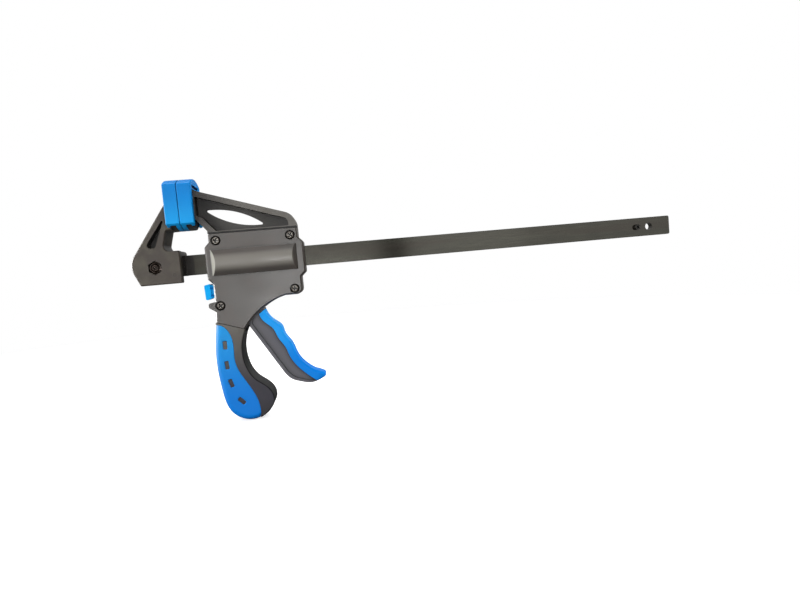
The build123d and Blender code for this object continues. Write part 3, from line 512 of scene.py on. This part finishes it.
# x and z in millimetres and turn in degrees of each screw, and y of all the heads' seats
SCREW_PLACES = ((25.9, 18.5, 22), (87.2, 18.3, 38), (86.9, -27.2, 12), (24.3, -36.2, 55))
SCREW_SEAT = -10.15
SCREW_RADIUS, SCREW_LENGTH = 2.0, 16.0
SCREW_HEAD = [
    (0, -2.4), (1.9, -2.4), (2.7, -2.28), (3.3, -1.95), (3.72, -1.45), (3.88, -0.9), (3.88, 0),
]
WORN_GLINTING_TOP = -2.3  # the head is worn bare, with painted glints, further out than this y
# y, half length and half width of each bar of the cross, at its mouth and at its floor
CROSS_LEVELS = ((-2.6, 2.5, 0.72), (-1.0, 1.0, 0.5))
BOX_FACES = ((0, 1, 2, 3), (7, 6, 5, 4), (0, 4, 5, 1), (1, 5, 6, 2), (2, 6, 7, 3), (3, 7, 4, 0))

head = turned(SCREW_HEAD + thread(SCREW_RADIUS, 0, SCREW_LENGTH))
for face in head.faces:
    face.material_index = int(face.calc_center_median().y < WORN_GLINTING_TOP * MM)
screw_blank = blank_object("screw_blank", head, (fastener_black, worn_glinting_steel))
shade_smooth(screw_blank.data, 35)

cross = bmesh.new()
for turn in (0, pi / 2):
    corners = []
    for depth, half_length, half_width in CROSS_LEVELS:
        for across, along in ((-1, -1), (1, -1), (1, 1), (-1, 1)):
            x, z = half_length * across, half_width * along
            place = (x * cos(turn) - z * sin(turn), depth, x * sin(turn) + z * cos(turn))
            corners.append(cross.verts.new([value * MM for value in place]))
    for face in BOX_FACES:
        cross.faces.new([corners[i] for i in face])
bmesh.ops.recalc_face_normals(cross, faces=cross.faces)
cutter = blank_object("cross", cross, (recess_black,))

screw_mesh = with_modifiers(screw_blank, ("BOOLEAN", {
    "operation": "DIFFERENCE", "solver": "EXACT", "object": cutter,
    "material_mode": "TRANSFER", "use_self": True}))
for passing in (screw_blank, cutter):
    bpy.data.objects.remove(passing)
for number, (x, z, turn) in enumerate(SCREW_PLACES, 1):
    mesh = screw_mesh.copy()
    seat = Matrix.Translation((x * MM, SCREW_SEAT * MM, z * MM))
    mesh.transform(seat @ Matrix.Rotation(radians(turn), 4, "Y"))
    new_object(f"cover_screw_{number}", mesh, "carriage",
               replaced=["cover_screws"] if number == 1 else ())

# ---- Hex nut and bolt through the fixed jaw -------------------------------------------

BOLT_X = -24.8
NUT_FACE, BOLT_BACK = -11.35, 11.35  # y
BOLT_RADIUS, THREAD_PITCH = 3.0, 1.0
HEX_FLAT, HEX_CORNER = 5.0, 5.85  # from the axis, the corners cut by a cone
HEX_STEPS = 72


def hexagon(angle, radius):
    """The radius at an angle of a hexagon with flats up and down, or a given one that is less."""
    from_flat = (angle % (pi / 3)) - pi / 6
    return min(radius, HEX_FLAT / cos(from_flat))


def jaw_fastener(name, profile, replaced):
    """A hexagonal piece on the bolt's axis."""
    shape = turned(profile, HEX_STEPS, hexagon)
    bmesh.ops.translate(shape, verts=shape.verts, vec=(BOLT_X * MM, 0, 0))
    mesh = mesh_of(name, shape)
    shade_smooth(mesh, 25)
    new_object(name, mesh, "bar_assembly", [finish_of[replaced]], [replaced])


nut_bore = BOLT_RADIUS + 0.05
jaw_fastener("hex_nut", [(radius, NUT_FACE + depth) for radius, depth in (
    (nut_bore, 5), (4.6, 5), (HEX_CORNER, 4.4), (HEX_CORNER, 1.7), (4.85, 1.15), (4.6, 1.1),
    (4.55, 0.45), (4.25, 0.08), (3.85, 0), (3.5, 0.15), (3.35, 0.6), (nut_bore, 1.0),
    (nut_bore, 5),
)], "jaw_nut")
bolt_head = [
    (0, BOLT_BACK), (4.7, BOLT_BACK), (HEX_CORNER, BOLT_BACK - 0.6), (HEX_CORNER, BOLT_BACK - 4.0),
    (BOLT_RADIUS, BOLT_BACK - 4.0),
]
shank = thread(BOLT_RADIUS, BOLT_BACK - 4.2, NUT_FACE - 0.3, THREAD_PITCH)[:-2]
# The end in the nut, with a dimple
bolt_end = [(radius, NUT_FACE + depth) for radius, depth in (
    (2.95, -0.1), (2.5, -0.6), (1.35, -0.6), (1.2, -0.3), (1.15, 1.2), (0, 1.6),
)]
jaw_fastener("hex_bolt", bolt_head + shank + bolt_end, "jaw_bolt")

# ---- Springs and soft mouldings -------------------------------------------------------

SMOOTHING = 0.5  # how far each round moves a vertex towards its neighbours' middle
MERGE_DISTANCE = 2e-6


def compressed(name, replaced):
    """A spring as a piece of its own on the carriage, in the place of its CAD node, with its own
    copy of the mesh.
    """
    mesh = nodes[replaced].data.copy()
    mesh.materials.clear()
    piece = new_object(name, mesh, "carriage", [finish_of[replaced]], [replaced])
    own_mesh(piece)


def round_tip(mesh, reach, rounds):
    """Smooths what is within reach, in millimetres, of the end furthest out along X."""
    shape = bmesh.new()
    shape.from_mesh(mesh)
    tip = max((vert.co for vert in shape.verts), key=lambda place: place.x)
    near = [vert for vert in shape.verts
            if Vector((vert.co.x - tip.x, 0, vert.co.z - tip.z)).length < reach * MM]
    for _ in range(rounds):
        bmesh.ops.smooth_vert(shape, verts=near, factor=SMOOTHING, use_axis_x=True,
                              use_axis_y=True, use_axis_z=True)
    shape.to_mesh(mesh)
    shape.free()


def moulded(name, replaced, body, voxel, rounds, tip=None):
    """A soft piece in the place of a CAD node: its form remeshed and rounded at every edge, and
    its tip more, where tip gives the reach and the rounds of that."""
    shape = bmesh.new()
    shape.from_mesh(nodes[replaced].data)
    bmesh.ops.remove_doubles(shape, verts=shape.verts, dist=MERGE_DISTANCE)
    rough = blank_object(name + "_blank", shape)
    made = with_modifiers(
        rough, ("REMESH", {"mode": "VOXEL", "voxel_size": voxel * MM, "adaptivity": 0.0}),
        ("SMOOTH", {"factor": SMOOTHING, "iterations": rounds}))
    bpy.data.objects.remove(rough)
    made.name = name
    made.materials.clear()
    if tip:
        round_tip(made, *tip)
    for polygon in made.polygons:
        polygon.use_smooth = True
    new_object(name, made, body, [finish_of[replaced]], [replaced])


compressed("drive_coil", "drive_spring")
compressed("brake_coil", "brake_spring")

moulded("fixed_pad_soft", "fixed_jaw_pad", "bar_assembly", 0.3, 2)
moulded("moving_pad_soft", "moving_jaw_pad", "carriage", 0.3, 2)
moulded("palm_soft", "handle_grip", "carriage", 0.4, 2)
moulded("finger_soft", "trigger_grip", "trigger", 0.4, 3, tip=(7.0, 160))

# ---- Floor ----------------------------------------------------------------------------

FLOOR_REACH = 6.0
FLOOR_GAP = 0.0005  # below the object
UNSEEN_FLOOR, SEEN_FLOOR = (0.12, 0.12, 0.12, 1), (0.8, 0.8, 0.8, 1)
FLOOR_LIFT = (0.6, 0.6, 0.6, 1)
FADE_START, FADE_END = 0.45, 1.1

floor_mesh = bpy.data.meshes.new("floor")
corners = [(x * FLOOR_REACH, y * FLOOR_REACH, 0) for x, y in ((-1, -1), (1, -1), (1, 1), (-1, 1))]
floor_mesh.from_pydata(corners, [], [(0, 1, 2, 3)])
floor = bpy.data.objects.new("floor", floor_mesh)
floor.location.z = cad_low.z - FLOOR_GAP
collection.objects.link(floor)

# Pale to the camera, with the object's shadow, and dark to the light that it would throw back
pale = bpy.data.materials.new("pale_floor")
pale.use_nodes = True
node = node_maker(pale.node_tree)
to_camera = node("LightPath", {}).outputs["Is Camera Ray"]
matt = node("BsdfDiffuse", {"Color": mixed(node, to_camera, UNSEEN_FLOOR, SEEN_FLOOR)})
lift = node("Emission", {"Color": FLOOR_LIFT, "Strength": to_camera})
lifted = node("AddShader", {0: matt.outputs[0], 1: lift.outputs[0]})
# Away from the object it goes over into the white backdrop
distant = node("Emission", {"Color": WHITE, "Strength": to_camera})
from_middle = vector_maths(node, "LENGTH", node("TexCoord", {}).outputs["Object"])
fade = ranged(node, from_middle, FADE_START, FADE_END, interpolation="SMOOTHSTEP")
both = node("MixShader", {0: fade, 1: lifted.outputs[0], 2: distant.outputs[0]})
node("OutputMaterial", {0: both.outputs[0]})
floor_mesh.materials.append(pale)
